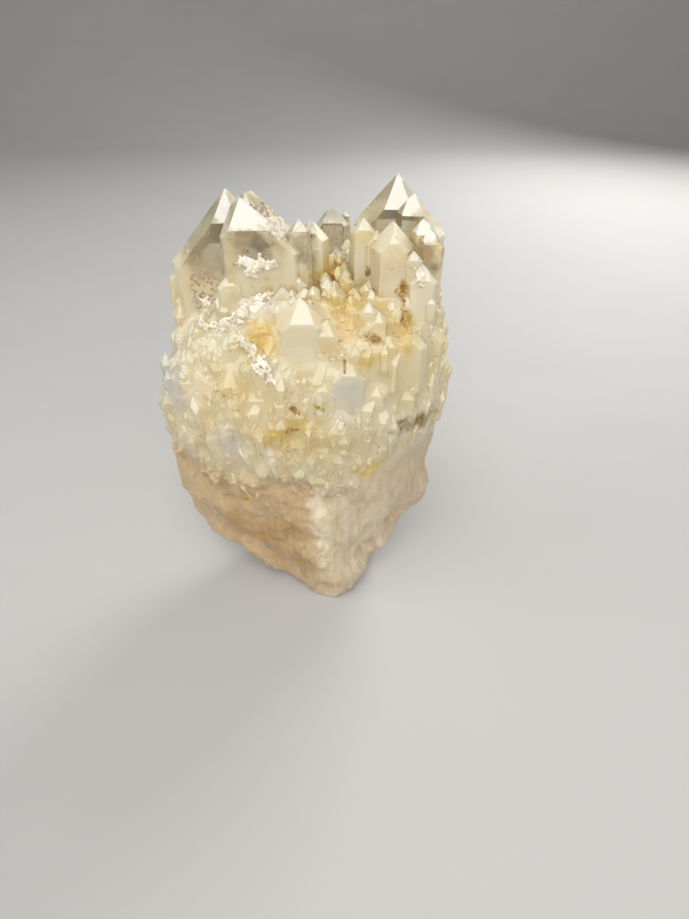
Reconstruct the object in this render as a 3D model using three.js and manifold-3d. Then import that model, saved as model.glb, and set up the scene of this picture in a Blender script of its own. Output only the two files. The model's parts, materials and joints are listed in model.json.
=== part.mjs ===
import * as THREE from "three";
import { ConvexGeometry } from "three/addons/geometries/ConvexGeometry.js";
import { mergeVertices } from "three/addons/utils/BufferGeometryUtils.js";
import Module from "manifold-3d";

// A candle quartz cluster: a broken foot of milky stone, a mantle of small crystals that all point up
// beside each other, and a crown of large clear ones. It grew as one piece, so it is one solid.
// Millimetres, +Z up. The foot's flat underside is at z = 0, and the prow of the foot points along -Y.

// Driving dimensions.
const END_FACE_ANGLE = 38.2; // degrees between an end face of quartz and its long axis
const TAPER = 0.6; // degrees by which the upright faces close in towards the tip
const MANTLE_LOW = 54; // lowest tip of the mantle of small crystals
const MANTLE_HIGH = 90; // highest tip of the mantle
const MANTLE_RING_STEP = 8; // height from one ring of the mantle to the next
const MANTLE_SPACING = 9.5; // distance between neighbours in a ring
const MANTLE_REACH = [2, 4.3]; // from the thinnest of its crystals to the thickest
const MANTLE_SUNK = [0.35, -0.2]; // share of the reach by which their axes lie within the stone
const MANTLE_LEAN = [20, 3]; // degrees outwards, of its lowest crystals and of those from MANTLE_UPRIGHT up
const MANTLE_UPRIGHT = 80;
const BARE = { rightOf: 9, inFrontOf: 24, below: 63 }; // where the front of the stone has no mantle
const SCATTER = 3; // degrees by which neighbours in the mantle differ
const MANTLE_LENGTH = 4.5; // length of a mantle crystal as a multiple of its reach
const MANTLE_ENDS = 0.35; // how far its end faces may pass outside the tip, as a share of its reach
const BLUNT = 0.8; // slope of the blunt lower end of each crystal, which is sunk in the stone
const ROOT = 0.3; // reach of the narrow lower end as a share of the crystal's own
const STONE_SIDES = 26; // corners in each outline of the stone
const STONE_STEP = 6; // height from one outline of the stone to the next
const CHIP = 0.5; // how far the corners of the broken stone stand in or out
const LUMP = 1.1; // how far its wide swellings do
const LUMP_PITCH = 0.16; // radians of swelling for each millimetre of height
const GROUND = { width: 300, depth: 60 }; // the block that the flat foot is cut with
const SLIVER = 0.22; // relief below this height is left out
const FOOT_MIDDLE = [-5, 20]; // where the middle of the foot is in the coordinates below, moved to the origin

// Outlines of the stone, from its foot upwards. `ridge` is the place in X of its front and back, `waist` the
// place in Y of its left and right, and `curve` runs from 1, a diamond, to 2, an oval.
const OUTLINES = [
  { z: -3, left: -18, right: 10, front: 1.5, back: 38, ridge: 0, waist: 21, curve: 1.35 },
  { z: 0, left: -22.5, right: 12, front: 0.4, back: 40, ridge: 1, waist: 21, curve: 1.3 },
  { z: 5, left: -31, right: 14, front: -0.6, back: 42, ridge: 0.5, waist: 21, curve: 1.25 },
  { z: 13, left: -40, right: 18, front: -1, back: 45, ridge: -1.5, waist: 20, curve: 1.2 },
  { z: 22, left: -44.5, right: 24, front: -1.6, back: 48, ridge: -3.5, waist: 20, curve: 1.25 },
  { z: 32, left: -47, right: 28.5, front: -2, back: 50, ridge: -3.5, waist: 20, curve: 1.35 },
  { z: 45, left: -47, right: 29, front: -2, back: 51, ridge: -4, waist: 21, curve: 1.6 },
  { z: 58, left: -46, right: 28.5, front: -2, back: 51.5, ridge: -6, waist: 22, curve: 1.85 },
  { z: 70, left: -45, right: 27.5, front: -0.8, back: 50.5, ridge: -6, waist: 23, curve: 2 },
  { z: 80, left: -38, right: 26, front: 2.2, back: 48.5, ridge: -5, waist: 25, curve: 2 },
  { z: 88, left: -31, right: 24.5, front: 6.6, back: 45, ridge: -4, waist: 27, curve: 2 },
  { z: 95, left: -23, right: 20, front: 13.5, back: 40, ridge: -3, waist: 28, curve: 2 },
];

// The faces of a crystal, from the front one round to the right. Its upright faces stand `reach` from its
// axis, times their share in `sides`: on most crystals here the front one is nearest. `ends` says how far
// outside the tip each end face passes, so that a large value makes a small face.
const FACES = [-90, -30, 30, 90, 150, 210];
const USUAL = [0.6, 0.9, 1, 1, 1, 0.9];

// The crown. `lean` is how far the tip leans to the right and to the back, in degrees.
const CROWN = [
  // left tower, the clear one behind
  {
    tip: [-25.2, 28, 112.8],
    reach: 11.2,
    length: 56,
    lean: [0, 1],
    ends: [0.3, 0.8, 1.5, 1, 0.4, 0],
    sides: [0.43, 1, 1, 1, 1.14, 1.12],
  },
  // front left tower, whose right side is broken off aslant
  {
    tip: [-18, 18.6, 116.4],
    reach: 9.4,
    length: 58,
    lean: [-1, 0],
    ends: [0, 1, 0.5, 2, 0, 0.6],
    sides: [0.65, 1.2, 1, 1, 0.35, 0.84],
    breaks: [{ normal: [0.46, -0.2, 0.86], at: [-19.5, 18, 114.6] }],
  },
  // the two slim crystals at its right
  { tip: [-7.2, 15.4, 110], reach: 2.4, length: 36, lean: [0, 0], ends: [0, 0.6, 0.3, 1, 0.3, 0.2] },
  { tip: [-4.4, 19.5, 108.6], reach: 3.3, length: 36, lean: [0, 0], ends: [0.4, 0, 0.6, 0.2, 0.5, 0.8] },
  // the dark window between the towers
  { tip: [-0.2, 38, 107], reach: 4.3, length: 40, lean: [0, 1], ends: [0, 0.7, 0.4, 0.5, 0.4, 0.7] },
  // right tower: two crystals side by side, a step apart
  {
    tip: [16.2, 28.5, 115.3],
    reach: 9.3,
    length: 62,
    lean: [1, 0],
    ends: [0.4, 0, 0.5, 1.5, 2.4, 1.7],
    sides: [0.5, 1, 1, 1, 1, 1],
  },
  {
    tip: [19, 24.6, 112.6],
    reach: 6.6,
    length: 56,
    lean: [1, 0],
    ends: [0, 0.2, 0.6, 2, 1, 1.4],
    sides: [0.42, 1, 1, 1, 1, 0.6],
  },
  // slim crystals that stand against the front of the right tower
  { tip: [7.1, 18.2, 109.6], reach: 2.7, length: 34, lean: [0, 0], ends: [0, 0.5, 0.2, 0.6, 0.3, 0.2] },
  {
    tip: [13.6, 15.4, 109.4],
    reach: 4.4,
    length: 40,
    lean: [0, 0],
    ends: [0.9, 0, 0.6, 1, 0.9, 0],
    sides: [0.8, 0.95, 1, 1, 1, 0.95],
  },
  { tip: [9.9, 17.2, 107.4], reach: 2.5, length: 36, lean: [0, 0], ends: [0.3, 0, 0.5, 0.4, 0.2, 0] },
  { tip: [20.9, 17.6, 108.9], reach: 2.9, length: 36, lean: [0.5, 0], ends: [0, 0.4, 0.4, 2.2, 1.4, 1.2] },
  { tip: [22.4, 15.8, 107], reach: 2.7, length: 34, lean: [1, 0], ends: [0.2, 0.4, 0.4, 2.4, 1.2, 1.6] },
  { tip: [18.1, 12.8, 104.2], reach: 2.1, length: 28, lean: [0, 0], ends: [0, 0.3, 0.2, 0.4, 0.2, 0.3] },
  { tip: [20.4, 12.6, 101.2], reach: 3.6, length: 34, lean: [1, -1], ends: [0, 0.5, 0.2, 0.7, 0.4, 0.3] },
  // the valley between the towers
  { tip: [-2.4, 22.4, 99.6], reach: 3.2, length: 20, lean: [0, 0], ends: [0.3, 0, 0.5, 0.2, 0.3, 0.4] },
  { tip: [3.8, 26.5, 98.4], reach: 3.6, length: 20, lean: [0, 0], ends: [0, 0.4, 0.2, 0.6, 0.3, 0.2] },
  { tip: [-6.8, 29.5, 101], reach: 4.2, length: 22, lean: [0, 0], ends: [0.4, 0.1, 0.5, 0, 0.6, 0.2] },
  { tip: [2.6, 33.6, 97.5], reach: 4.4, length: 20, lean: [0, 0], ends: [0.2, 0.5, 0, 0.4, 0.3, 0.6] },
  // the back of the crown
  { tip: [-15.5, 38, 103.5], reach: 6.6, length: 44, lean: [-2, 2], ends: [0.8, 0, 0.4, 0, 0.6, 0.2] },
  { tip: [-31.5, 35.5, 98], reach: 4.4, length: 36, lean: [-3, 3], ends: [0.6, 0.2, 0, 0.2, 0, 0.5] },
  { tip: [-7.5, 43, 95.5], reach: 3.7, length: 30, lean: [-1, 3], ends: [0.4, 0.2, 0, 0, 0.3, 0.2] },
  { tip: [7.2, 41.5, 99], reach: 4.4, length: 34, lean: [1, 3], ends: [0.5, 0, 0.3, 0, 0.2, 0.4] },
  { tip: [19.3, 38.6, 101], reach: 4.9, length: 38, lean: [2, 2], ends: [0.7, 0, 0.2, 0, 0.5, 0.2] },
];

// The larger crystals of the front and sides, which stand out of the mantle.
const STANDING = [
  { tip: [-23.2, 13.8, 99], reach: 3.2, length: 26, lean: [-2, -2], ends: [0.2, 0.3, 0, 0.8, 0, 0.4] },
  { tip: [-20.2, 10.6, 92.6], reach: 2.6, length: 22, lean: [-1, -3], ends: [0, 0.3, 0.2, 0.5, 0.3, 0.3] },
  { tip: [-31, 14.4, 88.2], reach: 2, length: 18, lean: [-4, -2], ends: [0, 0.3, 0.2, 0.4, 0.3, 0.1] },
  { tip: [-6.8, 6.4, 96], reach: 5.8, length: 34, lean: [0, -1], ends: [0, 0.9, 0.4, 1.4, 0.6, 0.2] },
  { tip: [-1.2, 5.2, 91.4], reach: 3.6, length: 28, lean: [0, -1], ends: [0, 0.4, 0.6, 0.9, 0.2, 0.5] },
  { tip: [3.8, 2.6, 84], reach: 4.9, length: 28, lean: [1, -3], ends: [0.3, 0.5, 0.4, 0.6, 0.2, 0] },
  { tip: [8.1, 6.6, 95], reach: 2.2, length: 20, lean: [0, -2], ends: [0, 0.3, 0.2, 0.5, 0.2, 0.1] },
  { tip: [12.7, 4.6, 88], reach: 2.6, length: 20, lean: [1, -3], ends: [0, 0.4, 0.3, 0.7, 0.2, 0.2] },
  { tip: [15, 8.8, 93], reach: 3, length: 26, lean: [1, -2], ends: [0.1, 0.5, 0.2, 0.8, 0.4, 0.4] },
  { tip: [23.4, 13, 88], reach: 4.1, length: 28, lean: [3, -2], ends: [0.4, 0, 0.4, 0.8, 0.5, 0.2] },
  { tip: [18, 6.4, 77], reach: 3, length: 24, lean: [4, -3], ends: [0.2, 0.4, 0.2, 0.6, 0.3, 0] },
  { tip: [26, 17, 79], reach: 4.4, length: 24, lean: [4, 0], ends: [0.3, 0.2, 0.3, 0.8, 0.4, 0.2] },
  { tip: [10.4, 2.4, 76.4], reach: 2.5, length: 22, lean: [2, -4], ends: [0, 0.3, 0.3, 0.6, 0.2, 0.2] },
  { tip: [-26.5, 6.6, 78.5], reach: 3.4, length: 22, lean: [-4, -4], ends: [0.2, 0.4, 0.1, 0.6, 0.3, 0.2] },
  { tip: [-18.2, 2.6, 76.4], reach: 3.8, length: 22, lean: [-3, -5], ends: [0, 0.5, 0.2, 0.6, 0.3, 0.3] },
  { tip: [-11.6, 0.8, 75.2], reach: 2.9, length: 20, lean: [-1, -5], ends: [0, 0.4, 0.3, 0.6, 0.3, 0.1] },
  { tip: [-36, 12.4, 80.6], reach: 3, length: 22, lean: [-6, -3], ends: [0.2, 0.3, 0.2, 0.4, 0.1, 0.3] },
  { tip: [-41, 19, 75.4], reach: 3.4, length: 22, lean: [-7, 0], ends: [0.3, 0.3, 0.1, 0.4, 0, 0.3] },
  { tip: [-20.6, 0.6, 63], reach: 3.1, length: 17, lean: [-10, -14], ends: [0, 0.4, 0.2, 0.5, 0.3, 0.2] },
  { tip: [-13.6, -1.2, 61.4], reach: 2.7, length: 16, lean: [-6, -15], ends: [0, 0.3, 0.3, 0.5, 0.2, 0.2] },
  { tip: [-16, 7.8, 91], reach: 3.4, length: 24, lean: [-1, -2], ends: [0, 0.4, 0.2, 0.7, 0.4, 0.3] },
  { tip: [-22.6, 8.8, 87.6], reach: 3.2, length: 22, lean: [-2, -2], ends: [0.2, 0.3, 0.1, 0.6, 0.2, 0.4] },
  { tip: [-28.4, 10.6, 84.4], reach: 2.9, length: 20, lean: [-4, -2], ends: [0, 0.4, 0.3, 0.4, 0.1, 0.2] },
  { tip: [-13.4, 5, 85.4], reach: 2.8, length: 20, lean: [-1, -3], ends: [0, 0.2, 0.4, 0.6, 0.3, 0.2] },
  { tip: [-19, 5.4, 81.8], reach: 3.5, length: 20, lean: [-2, -3], ends: [0, 0.5, 0.3, 0.7, 0.2, 0.4] },
  { tip: [0.8, 9.6, 95], reach: 2.8, length: 20, lean: [0, -1], ends: [0.2, 0.3, 0.1, 0.5, 0.3, 0.2] },
  { tip: [4.6, 7.2, 91.2], reach: 2.6, length: 20, lean: [0, -2], ends: [0, 0.4, 0.2, 0.5, 0.1, 0.3] },
  { tip: [9.8, 4.8, 84.4], reach: 3.1, length: 20, lean: [1, -3], ends: [0, 0.3, 0.4, 0.6, 0.3, 0.2] },
  { tip: [17.8, 7.8, 86.4], reach: 3.2, length: 22, lean: [2, -2], ends: [0.1, 0.4, 0.2, 0.6, 0.4, 0.2] },
  { tip: [-38.5, 40, 84], reach: 3.6, length: 26, lean: [-7, 6], ends: [0.3, 0.1, 0, 0.2, 0.2, 0.4] },
  { tip: [-22, 47.5, 86], reach: 4.8, length: 32, lean: [-3, 6], ends: [0.5, 0.1, 0, 0.2, 0.3, 0.3] },
  { tip: [-3, 51.5, 80.5], reach: 4.3, length: 30, lean: [0, 7], ends: [0.4, 0.2, 0, 0, 0.3, 0.2] },
  { tip: [15, 48, 85], reach: 4.4, length: 30, lean: [3, 6], ends: [0.3, 0.1, 0.1, 0, 0.4, 0.3] },
  { tip: [26.4, 33, 86.5], reach: 3.9, length: 28, lean: [4, 3], ends: [0.3, 0, 0.2, 0.2, 0.4, 0.2] },
];

const degrees = THREE.MathUtils.degToRad;
const lerp = THREE.MathUtils.lerp;
const wasm = await Module();
wasm.setup();

// Numbers from 0 to 1 that come out the same each time.
function dice(seed) {
  let state = seed;
  return () => {
    state = (state * 1664525 + 1013904223) % 4294967296;
    return state / 4294967296;
  };
}

// A closed three.js geometry as a solid that can be joined and cut.
function solidOf(geometry) {
  const shared = geometry.clone();
  shared.deleteAttribute("normal");
  shared.deleteAttribute("uv");
  const merged = mergeVertices(shared, 1e-3);
  return new wasm.Manifold(
    new wasm.Mesh({
      numProp: 3,
      vertProperties: merged.attributes.position.array,
      triVerts: new Uint32Array(merged.index.array),
    }),
  );
}

// The point where three planes meet, or null where they don't.
function meetingPoint(a, b, c) {
  const [p, q, r] = [a.normal, b.normal, c.normal];
  const across = new THREE.Matrix3().set(p.x, p.y, p.z, q.x, q.y, q.z, r.x, r.y, r.z);
  if (Math.abs(across.determinant()) < 1e-5) return null;
  return new THREE.Vector3(-a.constant, -b.constant, -c.constant).applyMatrix3(across.invert());
}

// The space behind all of the planes, as a geometry with a flat face on each plane that bounds it.
function spaceBehind(planes) {
  const corners = [];
  planes.forEach((a, i) =>
    planes.slice(i + 1).forEach((b, j) =>
      planes.slice(i + j + 2).forEach((c) => {
        const point = meetingPoint(a, b, c);
        if (!point || planes.some((plane) => plane.distanceToPoint(point) > 1e-3)) return;
        if (!corners.some((corner) => corner.distanceTo(point) < 0.03)) corners.push(point);
      }),
    ),
  );
  return new ConvexGeometry(corners);
}

// A plane with its solid side behind it, through a point.
function planeAt(normal, point) {
  return new THREE.Plane().setFromNormalAndCoplanarPoint(normal.clone().normalize(), point);
}

// One quartz crystal: six upright faces, six end faces that meet at the tip, and any break. Its lower end
// narrows, so that no wide flat end shows where it leaves the stone.
function crystal({ tip, reach, length, lean, ends, sides = USUAL, twist = 0, breaks = [] }) {
  const top = new THREE.Vector3();
  const root = new THREE.Vector3(0, 0, -length);
  const planes = FACES.flatMap((angle, i) => {
    const out = new THREE.Vector3(Math.cos(degrees(angle)), Math.sin(degrees(angle)), 0);
    const side = out.clone().setZ(Math.tan(degrees(TAPER)));
    const sideFoot = out.clone().multiplyScalar(reach * sides[i]).setZ(-reach);
    const end = out.clone().setZ(Math.tan(degrees(END_FACE_ANGLE)));
    const under = out.clone().setZ(-BLUNT);
    return [
      planeAt(side, sideFoot),
      planeAt(end, top.clone().addScaledVector(out, ends[i])),
      planeAt(under, root.clone().addScaledVector(out, ROOT * reach)),
    ];
  });
  planes.push(planeAt(new THREE.Vector3(0, 0, -1), root));
  const turned = new THREE.Matrix4().makeRotationZ(degrees(twist));
  const leaned = new THREE.Matrix4().makeRotationFromEuler(
    new THREE.Euler(degrees(-lean[1]), degrees(lean[0]), 0),
  );
  const placed = new THREE.Matrix4().makeTranslation(...tip).multiply(leaned).multiply(turned);
  planes.forEach((plane) => plane.applyMatrix4(placed));
  const broken = breaks.map(({ normal, at }) =>
    planeAt(new THREE.Vector3(...normal), new THREE.Vector3(...at)),
  );
  return solidOf(spaceBehind([...planes, ...broken]));
}

// The stone's outline at a height, with each of its measures between those of its neighbours.
function outlineAt(z) {
  const above = Math.max(1, OUTLINES.findIndex((outline) => outline.z >= z));
  const [low, high] = [OUTLINES[above - 1], OUTLINES[above]];
  const share = THREE.MathUtils.clamp((z - low.z) / (high.z - low.z), 0, 1);
  return Object.fromEntries(Object.keys(low).map((key) => [key, lerp(low[key], high[key], share)]));
}

// A point on the stone's side, at a height and an angle round it.
function sideOfStone(z, angle) {
  const { left, right, front, back, ridge, waist, curve } = outlineAt(z);
  const [c, s] = [Math.cos(angle), Math.sin(angle)];
  const x = (c > 0 ? right - ridge : ridge - left) * Math.sign(c) * Math.abs(c) ** (2 / curve);
  const y = (s > 0 ? back - waist : waist - front) * Math.sign(s) * Math.abs(s) ** (2 / curve);
  return new THREE.Vector3(ridge + x, waist + y, z);
}

// The way out of the stone, level, at the same place.
function outwards(z, angle) {
  const ahead = sideOfStone(z, angle + 0.02).sub(sideOfStone(z, angle - 0.02));
  return new THREE.Vector3(ahead.y, -ahead.x, 0).normalize();
}

// The broken stone, with swellings and chipped corners, closed at both ends.
function stone() {
  const roll = dice(7);
  const levels = [];
  const [foot, top] = [OUTLINES[0].z, OUTLINES.at(-1).z];
  for (let z = foot; z < top; z += STONE_STEP) levels.push(z);
  levels.push(top);
  const positions = [];
  levels.forEach((z, row) => {
    for (let i = 0; i < STONE_SIDES; i++) {
      const inner = row > 1 && row < levels.length - 1;
      const angle = ((i + (row % 2) / 2 + (roll() - 0.5) * 0.5) / STONE_SIDES) * 2 * Math.PI;
      const height = z + (inner ? (roll() - 0.5) * STONE_STEP * 0.5 : 0);
      const swell = Math.sin(3 * angle + z * LUMP_PITCH * 0.7) * Math.sin(z * LUMP_PITCH + 2 * angle + 1);
      const out = swell * LUMP + (roll() - 0.5) * 2 * CHIP;
      const point = sideOfStone(height, angle).addScaledVector(outwards(height, angle), out);
      positions.push(...point);
    }
  });
  const ends = [foot, top].map((z) => {
    positions.push(outlineAt(z).ridge, outlineAt(z).waist, z);
    return positions.length / 3 - 1;
  });
  const faces = [];
  for (let row = 0; row < levels.length - 1; row++)
    for (let i = 0; i < STONE_SIDES; i++) {
      const [a, b] = [row * STONE_SIDES + i, row * STONE_SIDES + ((i + 1) % STONE_SIDES)];
      const [c, d] = [a + STONE_SIDES, b + STONE_SIDES];
      faces.push(...(row % 2 ? [a, b, d, a, d, c] : [a, b, c, b, d, c]));
    }
  const last = (levels.length - 1) * STONE_SIDES;
  for (let i = 0; i < STONE_SIDES; i++) {
    const next = (i + 1) % STONE_SIDES;
    faces.push(ends[0], next, i, ends[1], last + i, last + next);
  }
  const geometry = new THREE.BufferGeometry();
  geometry.setAttribute("position", new THREE.Float32BufferAttribute(positions, 3));
  geometry.setIndex(faces);
  return solidOf(geometry);
}

// The mantle: rings of small crystals against the stone, all pointing up, the lower ones leaning out more.
function mantle() {
  const roll = dice(21);
  const found = [];
  for (let z = MANTLE_LOW, ring = 0; z <= MANTLE_HIGH; z += MANTLE_RING_STEP, ring++) {
    const { left, right, front, back } = outlineAt(z);
    const round = (Math.PI * (right - left + back - front)) / 2;
    const count = Math.round(round / MANTLE_SPACING);
    for (let i = 0; i < count; i++) {
      const angle = ((i + (ring % 2) / 2 + (roll() - 0.5) * 0.6) / count) * 2 * Math.PI;
      const height = z + (roll() - 0.5) * MANTLE_RING_STEP * 0.9;
      const reach = lerp(...MANTLE_REACH, roll() ** 2);
      const out = outwards(height - reach, angle);
      const upright = (height - MANTLE_LOW) / (MANTLE_UPRIGHT - MANTLE_LOW);
      const slope = lerp(...MANTLE_LEAN, THREE.MathUtils.clamp(upright, 0, 1));
      const sunk = reach * lerp(...MANTLE_SUNK, roll());
      const tip = sideOfStone(height - reach, angle).addScaledVector(out, -sunk);
      if (tip.x > BARE.rightOf && tip.y < BARE.inFrontOf && height < BARE.below) continue;
      found.push(
        crystal({
          tip: [tip.x, tip.y, height],
          reach,
          length: reach * MANTLE_LENGTH,
          lean: [slope * out.x + SCATTER * (roll() - 0.5), slope * out.y + SCATTER * (roll() - 0.5)],
          ends: FACES.map(() => MANTLE_ENDS * reach * roll() ** 2),
          sides: FACES.map(() => 0.8 + 0.4 * roll()),
          twist: 2 * SCATTER * (roll() - 0.5),
        }),
      );
    }
  }
  return found;
}

// Everything below z = 0, which the flat foot is cut from.
function ground() {
  const { width, depth } = GROUND;
  return solidOf(new THREE.BoxGeometry(width, width, depth).translate(0, 0, -depth / 2));
}

// The outside of a solid, without the pockets that its crystals close in between them.
function outerSkin(solid) {
  return solid.decompose().sort((one, other) => other.volume() - one.volume())[0];
}

function quartzCluster() {
  const pieces = [stone(), ...CROWN.map(crystal), ...STANDING.map(crystal), ...mantle()];
  const whole = outerSkin(wasm.Manifold.union(pieces).subtract(ground()));
  const { vertProperties, triVerts } = outerSkin(whole.simplify(SLIVER)).getMesh();
  const geometry = new THREE.BufferGeometry();
  geometry.setAttribute("position", new THREE.BufferAttribute(vertProperties, 3));
  geometry.setIndex(new THREE.BufferAttribute(triVerts, 1));
  const quartz = new THREE.MeshStandardMaterial({ color: 0xe6dfc8, roughness: 0.3, metalness: 0 });
  const mesh = new THREE.Mesh(geometry.toNonIndexed(), quartz);
  mesh.geometry.translate(-FOOT_MIDDLE[0], -FOOT_MIDDLE[1], 0);
  mesh.geometry.computeVertexNormals();
  mesh.name = "quartz_cluster";
  return mesh;
}

const specimen = new THREE.Group();
specimen.add(quartzCluster());

export default specimen;
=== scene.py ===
# %% [markdown]
# This lesson dresses a hand-size specimen of candle quartz. The real one is a single grown-together piece:
# a broken foot of milky quartz, a mantle of small crystals that all point up, and a crown of large clear
# crystals with slanting white ends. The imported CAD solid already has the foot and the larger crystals, so
# Blender's part is what is finer than that: hundreds of small crystals, the rough skin of the broken stone,
# crumbs of white crust, and a finish that turns from milky to clear.

# %% The frame and the tools
import json
import math
import random

import bmesh
import bpy
import numpy as np
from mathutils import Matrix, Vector, noise
from mathutils.bvhtree import BVHTree

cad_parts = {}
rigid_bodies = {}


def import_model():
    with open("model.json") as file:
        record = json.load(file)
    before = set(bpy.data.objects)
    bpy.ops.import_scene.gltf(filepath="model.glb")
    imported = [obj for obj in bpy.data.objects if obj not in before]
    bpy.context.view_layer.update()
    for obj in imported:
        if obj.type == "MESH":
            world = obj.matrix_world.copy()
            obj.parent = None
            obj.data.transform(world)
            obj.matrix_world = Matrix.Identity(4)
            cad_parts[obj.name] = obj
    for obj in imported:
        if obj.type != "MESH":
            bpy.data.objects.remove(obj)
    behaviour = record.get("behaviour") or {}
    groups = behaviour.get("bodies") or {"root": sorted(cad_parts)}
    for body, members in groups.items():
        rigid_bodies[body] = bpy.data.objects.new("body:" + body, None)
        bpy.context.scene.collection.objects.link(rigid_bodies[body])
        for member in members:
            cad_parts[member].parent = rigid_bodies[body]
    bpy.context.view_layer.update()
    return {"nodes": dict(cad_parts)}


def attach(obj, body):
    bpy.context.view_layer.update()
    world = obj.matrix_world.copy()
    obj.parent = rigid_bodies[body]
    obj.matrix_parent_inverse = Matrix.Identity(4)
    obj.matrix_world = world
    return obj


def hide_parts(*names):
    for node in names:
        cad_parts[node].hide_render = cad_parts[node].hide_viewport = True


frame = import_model()
solid = frame["nodes"]["quartz_cluster"]
print("solid:", len(solid.data.polygons), "faces")

# %% [markdown]
# Small crystals are easier to think about in millimetres than in metres. The places below are therefore in
# millimetres, measured from the front point of the foot, and two short functions go from the scene to these
# survey coordinates and back.

# %% Survey coordinates
FOOT_MIDDLE = np.array([-5.0, 20.0, 0.0])
MM = 0.001


def surveyed(metres):
    """Scene coordinates as millimetres from the front point of the foot."""
    return np.asarray(metres, float) / MM + FOOT_MIDDLE


def placed(millimetres):
    """Survey coordinates as scene coordinates in metres."""
    return (np.asarray(millimetres, float) - FOOT_MIDDLE) * MM


# %% [markdown]
# The CAD mesh arrives with its corners split so that each face is flat. A Boolean needs one closed skin, so
# the corners that share a place are welded in a copy. The copy's triangles also go in a BVH tree, which
# answers where a line first meets the surface. That is how each small crystal finds its place.

# %% The welded solid
def mesh_arrays(mesh):
    """A triangle mesh as its corner places and its faces."""
    corners = np.empty(len(mesh.vertices) * 3)
    mesh.vertices.foreach_get("co", corners)
    mesh.calc_loop_triangles()
    faces = np.empty(len(mesh.loop_triangles) * 3, np.int32)
    mesh.loop_triangles.foreach_get("vertices", faces)
    return corners.reshape(-1, 3), faces.reshape(-1, 3)


def welded_copy(mesh, gap=1e-6):
    """The mesh with the corners that share a place made one, in survey coordinates."""
    bm = bmesh.new()
    bm.from_mesh(mesh)
    bmesh.ops.remove_doubles(bm, verts=bm.verts, dist=gap)
    copy = bpy.data.meshes.new("welded")
    bm.to_mesh(copy)
    bm.free()
    corners, faces = mesh_arrays(copy)
    return surveyed(corners), faces


solid_corners, solid_faces = welded_copy(solid.data)
surface = BVHTree.FromPolygons(solid_corners.tolist(), solid_faces.tolist())
print("welded solid:", len(solid_corners), "corners,", len(solid_faces), "triangles")

# %% [markdown]
# A quartz crystal is the space behind thirteen planes: six upright faces, six end faces that lean 38.2
# degrees from the long axis, and its lower end. Every three planes meet in one point, and the crystal's
# corners are those points that no other plane cuts off. Working from planes keeps each face flat and each
# end true to the mineral, even where the faces are of very different sizes.

# %% One crystal from its planes
END_LEAN = 38.2
END_RISE = math.tan(math.radians(END_LEAN))
FACE_TURNS = np.radians([-90, -30, 30, 90, 150, 210])
OUTWARDS = np.stack([np.cos(FACE_TURNS), np.sin(FACE_TURNS), np.zeros(6)], axis=1)
TRIPLES = np.array([(a, b, c) for a in range(13) for b in range(a + 1, 13) for c in range(b + 1, 13)])
SAME_CORNER = 0.02
PARALLEL, JUST_OUTSIDE = 1e-4, 1e-6
SIDE_SHARES = (0.55, 1.2)
END_SHARE = 0.45


def leaning(lean_x, lean_y, twist):
    """A rotation by a twist about the long axis and then a lean to the right and to the back, in degrees."""
    x, y, z = (math.radians(angle) for angle in (-lean_y, lean_x, twist))
    about_x = np.array([[1, 0, 0], [0, math.cos(x), -math.sin(x)], [0, math.sin(x), math.cos(x)]])
    about_y = np.array([[math.cos(y), 0, math.sin(y)], [0, 1, 0], [-math.sin(y), 0, math.cos(y)]])
    about_z = np.array([[math.cos(z), -math.sin(z), 0], [math.sin(z), math.cos(z), 0], [0, 0, 1]])
    return about_x @ about_y @ about_z


def crystal(tip, reach, length, lean, twist, draw):
    """The corner points of one crystal, with faces of uneven size drawn by the random source."""
    sides = reach * np.array([draw.uniform(*SIDE_SHARES) for _ in range(6)])
    ends = reach * np.array([END_SHARE * draw.random() ** 2 for _ in range(6)])
    end_normals = OUTWARDS + [0, 0, END_RISE]
    end_normals /= np.linalg.norm(end_normals, axis=1)[:, None]
    normals = np.vstack([OUTWARDS, end_normals, [[0, 0, -1]]])
    away = np.concatenate([sides, (end_normals * OUTWARDS).sum(1) * ends, [length]])
    three = normals[TRIPLES]
    size = np.linalg.det(three)
    met = np.abs(size) > PARALLEL
    points = np.linalg.solve(three[met], away[TRIPLES[met]][:, :, None])[:, :, 0]
    inside = (points @ normals.T <= away + JUST_OUTSIDE).all(axis=1)
    points = points[inside]
    kept = []
    for point in points:
        if all(np.abs(point - other).max() > SAME_CORNER for other in kept):
            kept.append(point)
    return np.array(kept) @ leaning(*lean, twist).T + tip


sample = crystal(np.zeros(3), 2.0, 8.0, (0, 0), 0, random.Random(1))
print("one crystal has", len(sample), "corners and is", np.round(np.ptp(sample, axis=0), 1), "mm in size")

# %% [markdown]
# On the real specimen the small crystals cover the whole middle like shingles. They stand nearly parallel
# to the large ones, lean out a little more towards the bottom of the mantle, and are smallest there. Each
# one starts from a line shot in from outside: where the line meets the surface, a crystal is set half
# sunk, with its tip a little above. Where two crystals touch, they will be made one in the next step. The
# large faces of the big crystals have stayed clean, so four short lines around a place test for one.

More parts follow.
